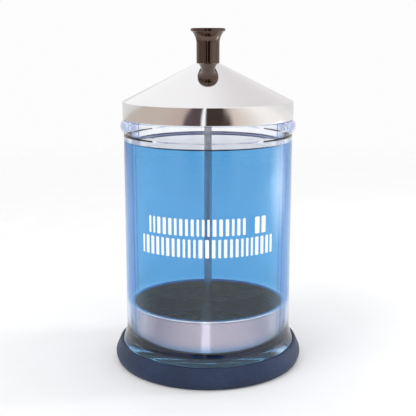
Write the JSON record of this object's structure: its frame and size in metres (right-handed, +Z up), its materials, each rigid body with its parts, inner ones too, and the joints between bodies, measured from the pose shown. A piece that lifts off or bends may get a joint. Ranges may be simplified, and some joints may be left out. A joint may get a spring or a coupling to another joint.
{
  "type": "disinfectant jar",
  "caption": "Round clear glass jar on a rubber ring, with a conical steel lid whose knob carries a centre rod and a perforated lift-out basket.",
  "frame": {"origin": "centre of the rubber ring's underside, on the jar's axis", "axes": "+Z up the jar's axis towards the knob; X and Y are level and equivalent, because the jar is round"},
  "size_m": [0.1004, 0.1004, 0.1761],
  "materials": {
    "ring_rubber": "matt moulded rubber, slate blue",
    "jar_glass": "clear pressed glass, polished",
    "lid_steel": "bright polished stainless steel",
    "knob_chrome": "dark polished turned metal, brown-black",
    "rod_steel": "drawn stainless rod",
    "basket_steel": "polished stainless sheet",
    "hardware_steel": "plain stainless hardware"
  },
  "bodies": {
    "jar": {"glass_jar": "jar_glass", "base_ring": "ring_rubber"},
    "lid": {"lid_shell": "lid_steel"},
    "basket_rod": {"lid_knob": "knob_chrome", "lid_rod": "rod_steel", "lid_washer": "hardware_steel", "lid_nut": "hardware_steel", "basket_cup": "basket_steel", "basket_washer_upper": "hardware_steel", "basket_nut_upper": "hardware_steel", "basket_washer_lower": "hardware_steel", "basket_nut_lower": "hardware_steel"}
  },
  "joints": [
    {"name": "lid_lift", "type": "slide", "parent": "jar", "child": "lid", "axis": [0, 0, 1], "range_m": [0, 0.15]},
    {"name": "rod_turn", "type": "hinge", "parent": "lid", "child": "basket_rod", "pos_m": [0, 0, 0.15], "axis": [0, 0, 1], "continuous": true}
  ]
}
